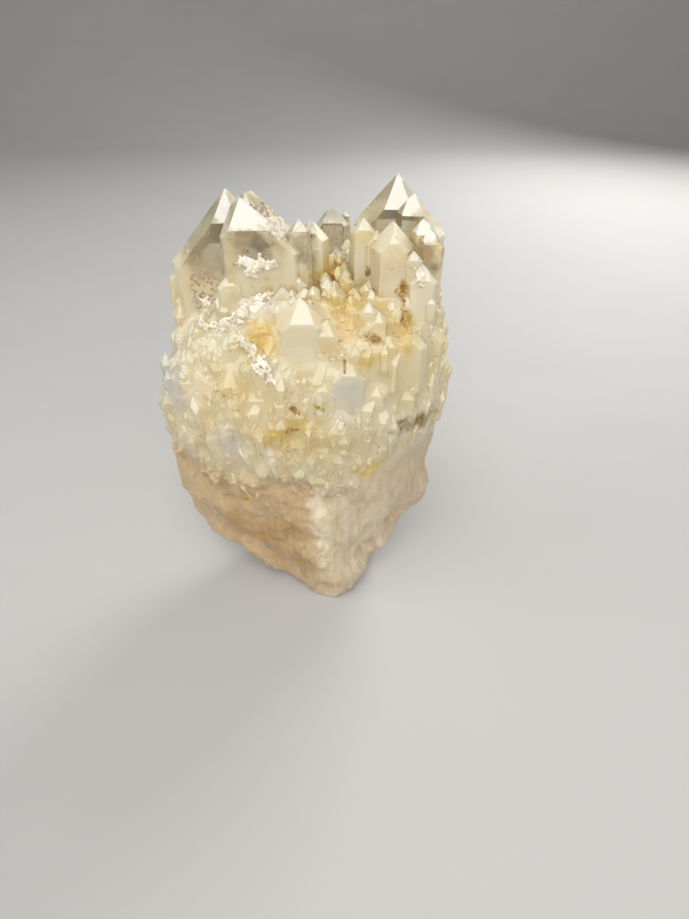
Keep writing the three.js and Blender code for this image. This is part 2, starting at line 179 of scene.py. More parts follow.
# %% The mantle of small crystals
draw = random.Random(11)
AXIS = np.array([-7.0, 24.0])
MANTLE_FOOT, MANTLE_TOP = 48.0, 92.0
LEDGE = {"right_of": 7.0, "width": 8.0, "in_front_of": 24.0, "height": 62.0}
CLEAN = [  # the smooth milky crystals of the front: x, y, z, then their reach along each
    (-6, 4, 88, 7.5, 8, 8),
    (4.4, -1, 77, 6, 6, 8),
    (13, 3, 79, 4.5, 6, 6),
]
FROM_OUTSIDE = 90
SAME_WAY = 0.995
REACHES = (0.7, 1.3)
RARE_REACH, RARITY = 1.7, 2.5
LEAN_AT_THE_FOOT, LEAN_AT_THE_TOP, LEAN_FALL = 24, 2, 1.5
STRAY_LEAN, STRAY_TWIST = 2.5, 6
OUT_OF_THE_FACE, ABOVE_THE_FACE = (-0.45, 0.25), (0.0, 1.5)
LENGTHS = (3.0, 5.0)
ROOM = 1.2
box_low, box_high = solid_corners.min(0) - ROOM, solid_corners.max(0) + ROOM
small_crystals = []


def surface_from_outside(turn, height):
    """Where a level line from outside towards the middle first meets the surface, and the way out there."""
    out = np.array([math.cos(turn), math.sin(turn), 0.0])
    start = np.array([*AXIS, height]) + FROM_OUTSIDE * out
    place, normal, _, _ = surface.ray_cast(Vector(start), Vector(-out))
    return (np.array(place), np.array(normal)) if place else (None, None)


def in_clean_place(place):
    """True where one of the few smooth milky crystals of the front shows."""
    return any(sum(((place[i] - spot[i]) / spot[i + 3]) ** 2 for i in range(3)) < 1 for spot in CLEAN)


def on_clean_face(place, normal, size=2.3):
    """True in the middle of a flat face that is large enough to have stayed clean."""
    side = np.cross(normal, [0, 0, 1.0])
    side /= np.linalg.norm(side) + 1e-9
    rise = np.cross(side, normal)
    for arm in (side, -side, rise, -rise):
        _, found, _, _ = surface.ray_cast(Vector(place + arm * size + normal), Vector(-normal), 2.0)
        if found is None or found.dot(Vector(normal)) < SAME_WAY:
            return False
    return True


def below_the_ledge(place, height):
    """True on the front right, where the mantle starts higher the further right it is."""
    risen = min(1, (place[0] - LEDGE["right_of"]) / LEDGE["width"])
    ledge_height = MANTLE_FOOT + risen * (LEDGE["height"] - MANTLE_FOOT)
    return place[1] < LEDGE["in_front_of"] and height < ledge_height


def mantle_crystal(turn, height):
    """A small crystal of the mantle, or None where the surface there is bare or a large clean face."""
    place, normal = surface_from_outside(turn, height)
    if place is None or in_clean_place(place) or on_clean_face(place, normal):
        return None
    if below_the_ledge(place, height):
        return None
    share = min(1.0, max(0.0, (height - MANTLE_FOOT) / (MANTLE_TOP - MANTLE_FOOT)))
    reach = draw.uniform(*REACHES) + draw.random() ** RARITY * RARE_REACH
    out = np.array([normal[0], normal[1], 0.0])
    out /= np.linalg.norm(out) + 1e-9
    slope = LEAN_AT_THE_FOOT * (1 - share) ** LEAN_FALL + LEAN_AT_THE_TOP
    rise = draw.uniform(*ABOVE_THE_FACE) * reach
    tip = place + out * reach * draw.uniform(*OUT_OF_THE_FACE) + np.array([0, 0, rise])
    lean = (slope * out[0] + draw.gauss(0, STRAY_LEAN), slope * out[1] + draw.gauss(0, STRAY_LEAN))
    length = reach * draw.uniform(*LENGTHS) + rise
    shape = crystal(tip, reach, length, lean, draw.gauss(0, STRAY_TWIST), draw)
    fits = (shape.min(0) > box_low).all() and (shape.max(0) < box_high).all()
    return shape if fits else None


ROWS, ROW_STRAY = 19, 1.4
SPARSER_FROM, CROWDED, SPARSE = 78, 68, 50
for row in range(ROWS):
    height = MANTLE_FOOT + (MANTLE_TOP - MANTLE_FOOT) * row / (ROWS - 1)
    in_a_row = CROWDED if height < SPARSER_FROM else SPARSE
    for step in range(in_a_row):
        turn = 2 * math.pi * (step + draw.random()) / in_a_row
        found = mantle_crystal(turn, height + draw.uniform(-ROW_STRAY, ROW_STRAY))
        if found is not None:
            small_crystals.append(found)
print("mantle:", len(small_crystals), "small crystals")

# %% [markdown]
# The valley between the two towers, and the steps behind them, are filled with upright crystals too. Their
# lines come straight down, because the ground there faces up.

# %% The valley and the steps
VALLEY_X, VALLEY_Y = (-13.0, 15.0), (9.0, 50.0)
VALLEY_FLOOR, VALLEY_TOP = 60, 103
ABOVE_ALL = 130.0
LEVEL = 0.85
TRIES = 620
VALLEY_REACHES, VALLEY_LENGTH = (0.8, 2.0), 5
VALLEY_RISES = (0.5, 2.2)
VALLEY_LEAN, VALLEY_TWIST = 3, 5
before_valley = len(small_crystals)
for _ in range(TRIES):
    x, y = draw.uniform(*VALLEY_X), draw.uniform(*VALLEY_Y)
    place, normal, _, _ = surface.ray_cast(Vector((x, y, ABOVE_ALL)), Vector((0, 0, -1)))
    if place is None or not VALLEY_FLOOR < place.z < VALLEY_TOP:
        continue
    if normal.z < LEVEL and on_clean_face(np.array(place), np.array(normal)):
        continue
    reach = draw.uniform(*VALLEY_REACHES)
    tip = np.array(place) + [0, 0, draw.uniform(*VALLEY_RISES) * reach]
    lean = (draw.gauss(0, VALLEY_LEAN), draw.gauss(0, VALLEY_LEAN))
    twist = draw.gauss(0, VALLEY_TWIST)
    small_crystals.append(crystal(tip, reach, reach * VALLEY_LENGTH, lean, twist, draw))
print("valley and steps:", len(small_crystals) - before_valley, "small crystals")

# %% [markdown]
# A Boolean joins two closed bodies, but each body may not overlap itself. The small crystals are therefore
# sorted into groups in which no two touch, each group becomes one mesh, and the groups are joined on to the
# solid one after another. The Manifold solver does this in moments and always returns a closed skin, which
# is what glass needs: a see-through body must have no walls inside it.

# %% Groups that don't touch
def sorted_apart(shapes, gap=0.02):
    """The shapes in groups, where the boxes of those in one group stay clear of each other."""
    groups = []
    for points in shapes:
        low, high = points.min(0) - gap, points.max(0) + gap
        for lows, highs, members in groups:
            if not ((np.array(lows) < high) & (np.array(highs) > low)).all(axis=1).any():
                break
        else:
            lows, highs, members = [], [], []
            groups.append((lows, highs, members))
        lows.append(low)
        highs.append(high)
        members.append(points)
    return [members for _, _, members in groups]


def hull_mesh(name, shapes):
    """One mesh that holds the convex hull of each shape."""
    corners, faces = [], []
    for points in shapes:
        bm = bmesh.new()
        verts = [bm.verts.new(point) for point in points]
        made = bmesh.ops.convex_hull(bm, input=verts)
        unused = [item for item in made["geom_interior"] if isinstance(item, bmesh.types.BMVert)]
        bmesh.ops.delete(bm, geom=unused, context="VERTS")
        bmesh.ops.recalc_face_normals(bm, faces=bm.faces)
        bm.verts.index_update()
        start = len(corners)
        corners += [tuple(vert.co) for vert in bm.verts]
        faces += [[start + vert.index for vert in face.verts] for face in bm.faces]
        bm.free()
    mesh = bpy.data.meshes.new(name)
    mesh.from_pydata(corners, [], faces)
    return mesh


def joined(base, tools, operation="UNION"):
    """The base mesh with each tool mesh joined on to it, or with what it shares with each."""
    body = bpy.data.objects.new("joining", base)
    bpy.context.collection.objects.link(body)
    others = []
    for tool in tools:
        other = bpy.data.objects.new("joining_tool", tool)
        bpy.context.collection.objects.link(other)
        others.append(other)
        step = body.modifiers.new("join", "BOOLEAN")
        step.operation, step.solver, step.object = operation, "MANIFOLD", other
    graph = bpy.context.evaluated_depsgraph_get()
    result = bpy.data.meshes.new_from_object(body.evaluated_get(graph))
    for other in [body, *others]:
        bpy.data.objects.remove(other)
    return result


base = bpy.data.meshes.new("solid_in_mm")
base.from_pydata(solid_corners.tolist(), [], solid_faces.tolist())
groups = sorted_apart(small_crystals)
tools = [hull_mesh(f"group_{i}", group) for i, group in enumerate(groups)]
cluster = joined(base, tools)
print(len(groups), "groups;", len(cluster.polygons), "faces after joining")

# %% [markdown]
# The small crystals of the real piece are not free-standing rods. They are sunk in a body of milky quartz
# that grew up between them, and only their outer faces show. Such a body is the cluster with its narrow gaps
# closed: blown up along its normals, melted by a voxel remesh, and shrunk again by a little more. What then
# still stands out of it is the low relief of faces that the photograph shows. A closed gap can leave a
# pocket inside, so only the largest connected skin is kept.

# %% The milky body between the crystals
BODY_TOP = 95.0
GAP, SUNK, BODY_VOXEL = 2.4, 0.25, 0.7
FACES_KEPT = 0.3
WIDER_THAN_ALL = 90
BELOW_THE_FOOT = -9


def modified(mesh, *steps):
    """The mesh after some modifiers, each given as its type and its settings."""
    body = bpy.data.objects.new("changing", mesh)
    bpy.context.collection.objects.link(body)
    for kind, settings in steps:
        step = body.modifiers.new(kind.lower(), kind)
        for key, setting in settings.items():
            setattr(step, key, setting)
    result = bpy.data.meshes.new_from_object(body.evaluated_get(bpy.context.evaluated_depsgraph_get()))
    bpy.data.objects.remove(body)
    return result


def gaps_closed(mesh):
    """The mesh with gaps narrower than twice GAP closed, and its skin sunk by SUNK."""
    melt = ("REMESH", {"mode": "VOXEL", "voxel_size": BODY_VOXEL})
    blow_up = ("DISPLACE", {"strength": GAP, "mid_level": 0.0})
    shrink = ("DISPLACE", {"strength": -GAP - SUNK, "mid_level": 0.0})
    return modified(mesh, melt, blow_up, melt, shrink, melt, ("DECIMATE", {"ratio": FACES_KEPT}))


def outer_skin(mesh):
    """Leaves only the largest connected part of the mesh, and tells how many others there were."""
    bm = bmesh.new()
    bm.from_mesh(mesh)
    unseen, parts = set(bm.verts), []
    while unseen:
        edge = [unseen.pop()]
        part = list(edge)
        while edge:
            vert = edge.pop()
            near = [link.other_vert(vert) for link in vert.link_edges]
            fresh = [other for other in near if other in unseen]
            unseen.difference_update(fresh)
            edge += fresh
            part += fresh
        parts.append(part)
    parts.sort(key=len)
    bmesh.ops.delete(bm, geom=[vert for part in parts[:-1] for vert in part], context="VERTS")
    bm.to_mesh(mesh)
    bm.free()
    return len(parts) - 1


sides, levels = (-WIDER_THAN_ALL, WIDER_THAN_ALL), (BELOW_THE_FOOT, BODY_TOP)
under_the_crown = np.array([(x, y, z) for x in sides for y in sides for z in levels], float)
lower = joined(cluster.copy(), [hull_mesh("under_the_crown", [under_the_crown])], "INTERSECT")
milky_body = gaps_closed(lower)
cluster = joined(cluster, [milky_body])
print("milky body:", len(milky_body.polygons), "faces; joined:", len(cluster.polygons))
print(outer_skin(cluster), "pockets and loose bits taken away")

# %% [markdown]
# The broken foot needs a skin that no list of planes can give: chips, ridges, streaks along the old growth
# and sugary grain. Its large triangles are first split until few are longer than a millimetre or so, and
# then every corner moves in or out by a sum of noises. The way out is averaged over the surroundings, so
# that no small thing is turned inside out. The same is done to the shoulder of the front left tower, where
# a broken face has been etched and healed, but along its own normals. The crystals' other faces are split
# coarsely, only to carry the shading of the next step.

# %% Splitting long edges
STONE_LINE = 52.0
FADE_DOWN, FADE_UP = 6, 2
FINE_EDGE, FACE_EDGE = 1.15, 4.4
SHOULDER_POINT = Vector((-19.5, 18.0, 114.6))
SHOULDER_WAY = Vector((0.46, -0.2, 0.86)).normalized()
SHOULDER_FOOT, SHOULDER_FLAT = 98, 0.03


def on_shoulder(point):
    """Whether a point is on the etched shoulder of the front left tower."""
    return point.z > SHOULDER_FOOT and abs((point - SHOULDER_POINT).dot(SHOULDER_WAY)) < SHOULDER_FLAT


def edge_limit(edge):
    """The longest an edge may be: short on the broken stone and the shoulder, long on the crystals."""
    one, other = (vert.co for vert in edge.verts)
    fine = min(one.z, other.z) < STONE_LINE + FADE_UP or (on_shoulder(one) and on_shoulder(other))
    return FINE_EDGE if fine else FACE_EDGE


def split_long_edges(mesh, passes=5):
    """Halves each edge that is over its limit, until few are."""
    bm = bmesh.new()
    bm.from_mesh(mesh)
    bmesh.ops.triangulate(bm, faces=bm.faces)
    for _ in range(passes):
        long = [edge for edge in bm.edges if edge.calc_length() > edge_limit(edge)]
        if not long:
            break
        bmesh.ops.subdivide_edges(bm, edges=long, cuts=1)
        bmesh.ops.triangulate(bm, faces=[face for face in bm.faces if len(face.verts) > 3])
    bm.to_mesh(mesh)
    bm.free()
    return mesh


split_long_edges(cluster)
print("after splitting:", len(cluster.polygons), "triangles")


# %% Rough skin of the broken stone
def smooth_step(value, low, high):
    """0 below low, 1 above high, and a smooth rise between."""
    share = np.clip((value - low) / (high - low), 0, 1)
    return share * share * (3 - 2 * share)


LOBES = [  # x, y and z on the outline of the foot, then how wide and how far out the stone swells there
    (-27, 9, 18, 4.0, -3.2),
    (-34, 14, 15, 5.0, 1.6),
    (-21, 9.5, 8, 4.5, 1.6),
    (-14, 6, 10, 3.2, -2.4),
    (-8, 3.5, 7, 3.5, 1.3),
    (-3.4, 2, 4.5, 2.4, -1.4),
    (8, 6, 8, 4.5, 2.6),
    (9.5, 8.5, 16, 3.0, -3.6),
    (13.5, 12.5, 15, 4.0, 2.4),
    (17.5, 13, 25, 3.2, -3.6),
    (24, 18, 29, 5.0, 1.6),
    (26, 17, 41, 3.5, -1.6),
]
LOBE_END = 2.5


def lobed(x, y, z):
    """How far the foot stands out at a place because of the lobes and notches of its outline."""
    near = [(math.dist((x, y, z), spot[:3]) / spot[3], spot[4]) for spot in LOBES]
    return sum(out * math.exp(-share * share) for share, out in near if share < LOBE_END)


CHIP, SWELL, STREAK, GRAIN = (6.5, 6.5, 8.0), (9.0, 9.0, 14.0), (1.5, 1.5, 12.0), (1.5, 1.5, 1.7)
SWELL_SHIFT, STREAK_LEAN = 3, 11
CALM_X, CALM_Y = (-6, 0), (18, 26)
FOOT_EDGE = (0.05, 2.0)
ETCHED, ETCHED_DEPTH = (1.9, 1.3, 2.4), 2.2
PIT, PIT_DEPTH = 0.8, 0.35
SAME_SIDE = 0.99


def stone_relief(x, y, z):
    """How far the broken stone stands out at a place, in millimetres."""
    chips = noise.voronoi(Vector((x / CHIP[0], y / CHIP[1], z / CHIP[2])))[0]
    calm = smooth_step(x, *CALM_X) * (1 - smooth_step(y, *CALM_Y))
    chipped = (0.75 - 0.5 * calm) * (1.7 * (chips[1] - chips[0]) - 0.75)
    swell = 0.7 * noise.noise(Vector((x / SWELL[0], y / SWELL[1], z / SWELL[2] + SWELL_SHIFT)))
    streak_place = Vector((x / STREAK[0] + z / STREAK_LEAN, y / STREAK[1], z / STREAK[2]))
    streaks = (0.28 + 0.25 * calm) * noise.noise(streak_place)
    grain = (0.38 - 0.24 * calm) * noise.noise(Vector((x / GRAIN[0], y / GRAIN[1], z / GRAIN[2])))
    return float(chipped + swell + streaks + grain + lobed(x, y, z))


def shoulder_relief(x, y, z):
    """How far the etched shoulder lies in at a place, in millimetres."""
    steps = abs(noise.noise(Vector((x / ETCHED[0], y / ETCHED[1], z / ETCHED[2]))))
    pits = noise.noise(Vector((x / PIT, y / PIT, z / PIT)))
    return -ETCHED_DEPTH * steps - PIT_DEPTH * (1 + pits)


def wide_normals(mesh, normals, rounds=12):
    """The corners' normals averaged over their surroundings, so that a small feature moves as a whole."""
    ends = np.empty(len(mesh.edges) * 2, np.int32)
    mesh.edges.foreach_get("vertices", ends)
    ends = ends.reshape(-1, 2)
    for _ in range(rounds):
        total = normals.copy()
        np.add.at(total, ends[:, 0], normals[ends[:, 1]])
        np.add.at(total, ends[:, 1], normals[ends[:, 0]])
        normals = total / (np.linalg.norm(total, axis=1)[:, None] + 1e-9)
    return normals


def roughen(mesh):
    """Moves each corner of the stone and of the shoulder in or out, and leaves the crystals as they are."""
    count = len(mesh.vertices)
    corners, normals = np.empty(count * 3), np.empty(count * 3)
    mesh.vertices.foreach_get("co", corners)
    mesh.vertex_normals.foreach_get("vector", normals)
    corners, normals = corners.reshape(-1, 3), normals.reshape(-1, 3)
    stone = 1 - smooth_step(corners[:, 2], STONE_LINE - FADE_DOWN, STONE_LINE + FADE_UP)
    footing = smooth_step(corners[:, 2], *FOOT_EDGE)
    moved = np.zeros(count)
    ways = np.where(stone[:, None] > 0, wide_normals(mesh, normals), normals)
    for i, (x, y, z) in enumerate(corners.tolist()):
        if stone[i] > 0:
            moved[i] = stone[i] * footing[i] * stone_relief(x, y, z)
        elif on_shoulder(Vector((x, y, z))) and SHOULDER_WAY.dot(Vector(normals[i])) > SAME_SIDE:
            moved[i] = shoulder_relief(x, y, z)
    corners += ways * moved[:, None]
    corners[:, 2] = np.maximum(corners[:, 2], 0)
    mesh.vertices.foreach_set("co", corners.ravel())
    return moved


relief = roughen(cluster)
print("stone relief from", round(relief.min(), 2), "to", round(relief.max(), 2), "mm")

# %% [markdown]
# Iron and dirt gather where crystals meet, and shade falls there, so the finish has to know how sheltered
# each
# place is: the sheltered places get a darker yellow that is partly iron stain and partly painted shade. From
# every corner a handful of short lines go out around the normal. The share of them that hits the cluster
# again is kept as an attribute on the mesh, which a material can read like any other value.

# %% How sheltered each place is
SHELTER_REACH = 5.0
LINES = 10
GOLDEN_TURN = 2.4
TILTS = (0.35, 0.92)
OFF_THE_SKIN = 0.05


def shelter(mesh):
    """For each corner, the share of short outward lines that meet the mesh again."""
    corners, faces = mesh_arrays(mesh)
    tree = BVHTree.FromPolygons(corners.tolist(), faces.tolist())
    rays = np.array([(0, 0, 1.0)] + [
        (math.cos(GOLDEN_TURN * i) * tilt, math.sin(GOLDEN_TURN * i) * tilt, math.sqrt(1 - tilt * tilt))
        for i, tilt in enumerate(np.linspace(*TILTS, LINES - 1))
    ])
    found = np.zeros(len(corners))
    for i, normal in enumerate(mesh.vertex_normals):
        up = normal.vector
        side = up.orthogonal().normalized()
        across = up.cross(side)
        start = Vector(corners[i]) + up * OFF_THE_SKIN
        for x, y, z in rays:
            hit = tree.ray_cast(start, side * x + across * y + up * z, SHELTER_REACH)
            if hit[0] is not None:
                found[i] += 1 - hit[3] / SHELTER_REACH
    return found / LINES


sheltered = shelter(cluster)
kept = cluster.attributes.new("shelter", "FLOAT", "POINT")
kept.data.foreach_set("value", sheltered)
print("shelter: mean", round(sheltered.mean(), 3), "most", round(sheltered.max(), 3))

# %% [markdown]
# A white crust of crumbs sits on some crystals in the front, and rusty crumbs sit in the joints beside it. A
# crust is best made as it grew: many grains dropped along a few strokes, each found by a level line from the
# front, and then melted into each other by a voxel remesh so that no grain is left loose.

# %% Grains along strokes
WHITE_STROKES = [  # x and z of each point, with how far the grains stray to the sides
    ([(-20.0, 102.6), (-17.5, 101.4), (-13.0, 101.6)], 1.2),
    ([(-18.5, 100.6), (-17.0, 98.8)], 1.0),
    ([(-14.0, 94.4), (-18.0, 92.6), (-22.5, 90.0)], 1.2),
    ([(-24.5, 88.6), (-28.0, 86.0)], 1.0),
    ([(-20.5, 86.2), (-16.5, 82.4), (-13.8, 79.0)], 1.2),
    ([(-22.0, 86.4), (-18.5, 84.6)], 1.0),
    ([(-32.0, 89.5), (-30.5, 85.6)], 1.0),
    ([(19.4, 101.0), (20.2, 97.4)], 0.7),
]
RUSTY_STROKES = [
    ([(7.6, 88.2), (9.6, 88.0), (10.8, 86.8)], 0.9),
    ([(8.2, 99.6), (8.0, 97.4)], 0.3),
    ([(16.3, 97.8), (16.3, 94.0), (16.2, 90.4)], 0.5),
    ([(-9.4, 72.4), (-8.0, 71.0)], 0.6),
    ([(-4.6, 73.2), (-2.0, 71.8)], 0.4),
    ([(-12.0, 67.0), (-8.0, 66.4)], 0.8),
    ([(2.9, 83.2), (2.9, 81.2)], 0.25),
]
GRAIN_SIZES, RUST_SIZES = (0.24, 0.66), (0.15, 0.42)
GRAINS_PER_MM, RUST_PER_MM, AT_LEAST = 15, 9, 4
STRAY_SHARE = 0.6
FROM_THE_FRONT = -60.0
BACK_LIMIT = 30
SUNK_SHARE = 0.25
JITTER = (0.75, 1.25)
VOXEL, RUST_FINER = 0.2, 0.8


def grains_along(strokes, tree, sizes, per_mm):
    """Middle and radius of each grain, found on the surface from in front."""
    found = []
    for points, stray in strokes:
        for (x0, z0), (x1, z1) in zip(points, points[1:]):
            for _ in range(int(per_mm * math.hypot(x1 - x0, z1 - z0)) + AT_LEAST):
                share = draw.random()
                x = x0 + (x1 - x0) * share + draw.gauss(0, stray * STRAY_SHARE)
                z = z0 + (z1 - z0) * share + draw.gauss(0, stray * STRAY_SHARE)
                hit = tree.ray_cast(Vector((x, FROM_THE_FRONT, z)), Vector((0, 1, 0)))
                if hit[0] is not None and hit[0].y < BACK_LIMIT:
                    size = sizes[0] + (sizes[1] - sizes[0]) * draw.random() ** 2
                    found.append((hit[0] - hit[1] * size * SUNK_SHARE, size))
    return found


def crust_mesh(name, grains, voxel):
    """Jittered balls at the grains, melted together by a voxel remesh."""
    bm = bmesh.new()
    for middle, size in grains:
        made = bmesh.ops.create_icosphere(bm, subdivisions=1, radius=size)
        for vert in made["verts"]:
            vert.co = middle + vert.co * draw.uniform(*JITTER)
    loose = bpy.data.meshes.new(name + "_loose")
    bm.to_mesh(loose)
    bm.free()
    mesh = modified(loose, ("REMESH", {"mode": "VOXEL", "voxel_size": voxel}))
    mesh.name = name
    return mesh


cluster_corners, cluster_faces = mesh_arrays(cluster)
skin = BVHTree.FromPolygons(cluster_corners.tolist(), cluster_faces.tolist())
white_grains = grains_along(WHITE_STROKES, skin, GRAIN_SIZES, GRAINS_PER_MM)
white_crust = crust_mesh("white_crust", white_grains, VOXEL)
rusty_grains = grains_along(RUSTY_STROKES, skin, RUST_SIZES, RUST_PER_MM)
rusty_crust = crust_mesh("rusty_crust", rusty_grains, VOXEL * RUST_FINER)
print("white crust:", len(white_crust.polygons), "faces; rusty crust:", len(rusty_crust.polygons))

# %% [markdown]
# Nodes are easier to read as sums than as a web of boxes. One small class stands for a socket, and its
# operators add Math nodes, so that a mask can be written as 1 - mask * 0.5. Its stepped method makes a mask:
# 0 at the first number, 1 at the second, smooth between. A second class is the finish that is being made. It
# adds any node from its type, its settings and what goes into its sockets.

# %% Shader maths as expressions
class Value:
    """A socket that can be added, multiplied and so on. Each operator adds one Math node."""

    def __init__(self, finish, socket):
        self.finish, self.socket = finish, socket

    def math(self, operation, *terms, clamp=False):
        """One Math node that works on the terms."""
        settings = {"operation": operation, "use_clamp": clamp}
        return self.finish.node("ShaderNodeMath", settings, dict(enumerate(terms)))

    def __add__(self, other):
        return self.math("ADD", self, other)

    def __radd__(self, other):
        return self.math("ADD", other, self)

    def __sub__(self, other):
        return self.math("SUBTRACT", self, other)

    def __rsub__(self, other):
        return self.math("SUBTRACT", other, self)

    def __mul__(self, other):
        return self.math("MULTIPLY", self, other)

    def __rmul__(self, other):
        return self.math("MULTIPLY", other, self)

    def clamped(self):
        return self.math("ADD", self, 0.0, clamp=True)

    def or_more(self, other):
        return self.math("MAXIMUM", self, other)

    def stepped(self, low, high):
        """A smooth rise from 0 to 1 as this goes from low to high."""
        sockets = {"Value": self, "From Min": low, "From Max": high}
        return self.finish.node("ShaderNodeMapRange", {"interpolation_type": "SMOOTHSTEP"}, sockets)


class Finish:
    """A material while it is being made, and the one way to add a node to it."""

    def __init__(self, name):
        self.material = bpy.data.materials.new(name)
        self.material.use_nodes = True
        self.tree = self.material.node_tree
        self.tree.nodes.clear()

    def node(self, kind, settings=None, sockets=None, out=0):
        """A new node, and which of its outputs is the value."""
        made = self.tree.nodes.new(kind)
        for key, setting in (settings or {}).items():
            setattr(made, key, setting)
        for key, item in (sockets or {}).items():
            if isinstance(item, Value):
                self.tree.links.new(item.socket, made.inputs[key])
            else:
                made.inputs[key].default_value = item
        return Value(self, made.outputs[out])

    def blend(self, share, first, second):
        """Two colours mixed."""
        return self.node("ShaderNodeMix", {"data_type": "RGBA"}, {0: share, 6: first, 7: second}, out=2)

    def vector(self, operation, *terms, out=0):
        return self.node("ShaderNodeVectorMath", {"operation": operation}, dict(enumerate(terms)), out)

    def clouds(self, place, scale, detail=3.0, stretch=(1, 1, 1)):
        """Noise from 0 to 1 over places in millimetres, stretched by dividing them."""
        shaped = self.vector("DIVIDE", place, tuple(stretch))
        sockets = {"Vector": shaped, "Scale": 1 / scale, "Detail": detail}
        return self.node("ShaderNodeTexNoise", {}, sockets)


def srgb(red, green, blue):
    """A colour given from 0 to 255, as the linear colour that a shader takes."""
    linear = [((c / 255 + 0.055) / 1.055) ** 2.4 if c > 10 else c / 3294.6 for c in (red, green, blue)]
    return (*linear, 1.0)


print("cream as linear:", [round(c, 3) for c in srgb(226, 216, 190)])

# %% [markdown]
# The finish of the quartz is three shaders and two masks. The clear one is plain glass with the index of
# quartz. The milky one scatters light under its surface, as countless tiny bubbles do, and the stony one
# does so less deep, under a streaky skin. One mask is the milkiness, which is low in the tall tips, and one
# is the stone. Colour comes in patches that each have a place on the real piece: yellow and ochre iron stain
# in the middle, a tan area low on the left, a line of dirt on the right, and white frost on the slanting end
# faces, brightened by a painted highlight where they face the front. A painted highlight also runs along the
# edge between the two sides of the foot, and painted shade darkens the bottom and the far right of the
# stone.
# Every patch is an ellipsoid, given by its middle and by its reach along x, y and z.

# %% Where things are on the quartz
WARM = [  # yellow stain
    (-0.5, 22, 96, 8, 12, 8),
    (2.5, 11, 92.5, 9, 8, 6.5),
    (11, 10, 90, 6, 6, 6),
    (-4, 13, 90, 6, 7, 5),
    (4, 10, 87, 9, 9, 11),
    (16, 8, 87, 4.5, 6, 8),
    (-13.2, 0, 65, 6, 7, 6),
    (-8, 1, 68, 7, 6, 6),
    (10.6, -1, 52.5, 7, 5, 4),
    (-24.7, 4, 39.8, 3.5, 5, 3),
    (-17, 6, 86, 8, 8, 7),
    (7, 4, 83, 6, 6, 4),
    (-12, 46, 78, 12, 9, 12),
    (12, 42, 88, 8, 7, 9),
]
FAINT = [  # a breath of yellow
    (-20, 4, 75, 22, 12, 17),
    (13, 6, 82, 14, 12, 13),
    (-4, 0, 63, 11, 8, 8),
    (2, 10, 88, 13, 10, 12),
    (0, 45, 75, 30, 14, 20),
    (-22, 46, 28, 16, 10, 12),
]
OCHRE = [  # strong iron spots
    (9.7, 5, 87.6, 3, 4, 2.3),
    (-0.6, 18, 95, 2.6, 5, 3.5),
    (16.2, 11, 96.5, 1.1, 5, 4),
    (16.4, 7, 91, 1.3, 5, 3.5),
    (8.1, 15, 98.6, 0.9, 4, 3),
    (2.9, 8, 82.2, 0.6, 4, 1.8),
    (-8.7, 0, 71.8, 1.6, 4, 1.6),
    (-3.6, 2, 72.6, 2.2, 4, 1.1),
    (-2.2, 2, 70.6, 1.1, 4, 1),
    (-24.7, 4, 39.8, 1.5, 4, 1.4),
    (-3.3, -0.5, 20.3, 1.7, 4, 0.7),
    (-13.4, 6, 76.6, 1.4, 5, 4.5),
    (-18, 45, 80, 2.5, 4, 2),
    (13, 44, 78, 2, 4, 3),
]
TAN = [  # the broken stone low on the left
    (-20, 5, 24, 16, 12, 13),
    (-13, 2, 30, 9, 9, 9),
    (-10, 2, 16, 7, 8, 9),
    (-28, 8, 27, 11, 10, 10),
]
DIRT = [  # the brown line on the right
    (21, 8, 63.5, 10, 10, 3.2),
    (16, 4, 64.5, 7, 5, 2.6),
]
GREY = [  # crystals without any yellow
    (-24.8, 3, 61.8, 7, 6, 5),
    (4.4, -1, 76, 6, 6, 9),
    (-41, 14, 72, 6, 14, 14),
    (2.2, 1, 1, 7, 5, 3),
]
CLEAR = [  # tips that light goes through
    (-27, 26, 104, 14, 18, 13),
    (-16, 15, 109, 10, 10, 9),
    (-6.5, 17, 107, 4.5, 6, 10),
    (-0.4, 36, 103, 6, 7, 9),
    (15.5, 28, 110, 13, 15, 11),
    (21.5, 17, 103, 5, 6, 7),
]
PAINTED_RIDGE_HIGHLIGHT = [  # a painted highlight on the edge between the two sides of the foot
    (-3.8, -1.5, 40, 3.6, 4, 13),
    (-2.8, -1, 29, 2.8, 4, 15),
]
PAINTED_END_GLINTS = [  # the end faces that get the strongest painted glint
    (16, 26, 112, 8, 6, 6),
    (-25, 26, 110, 4.5, 5, 6),
    (-19, 15, 112, 7, 5, 6),
    (21, 16, 108, 4, 4, 3),
]
FROSTED = [(-12, 16, 110, 10, 10, 8)]  # the etched shoulder
CHIPPED = [  # small fresh chips on the broken stone
    (-38, 12, 31, 5, 6, 5),
    (-9, 3, 10, 4, 5, 3),
    (3, 1, 3, 5, 4, 3),
    (24, 17, 31, 5, 5, 4),
    (1, 0, 47, 5, 4, 3),
]
SPECKLED = [  # brownish freckles
    (-0.6, 33.6, 101.4, 4.2, 4, 3.6),
    (-20.5, 22, 104, 3.4, 6, 9),
    (-31, 22, 92, 6, 8, 9),
]
everywhere = (WARM, FAINT, OCHRE, TAN, DIRT, GREY, CLEAR, PAINTED_RIDGE_HIGHLIGHT, PAINTED_END_GLINTS, FROSTED, CHIPPED, SPECKLED)
print(sum(map(len, everywhere)), "patches of colour and clearness")


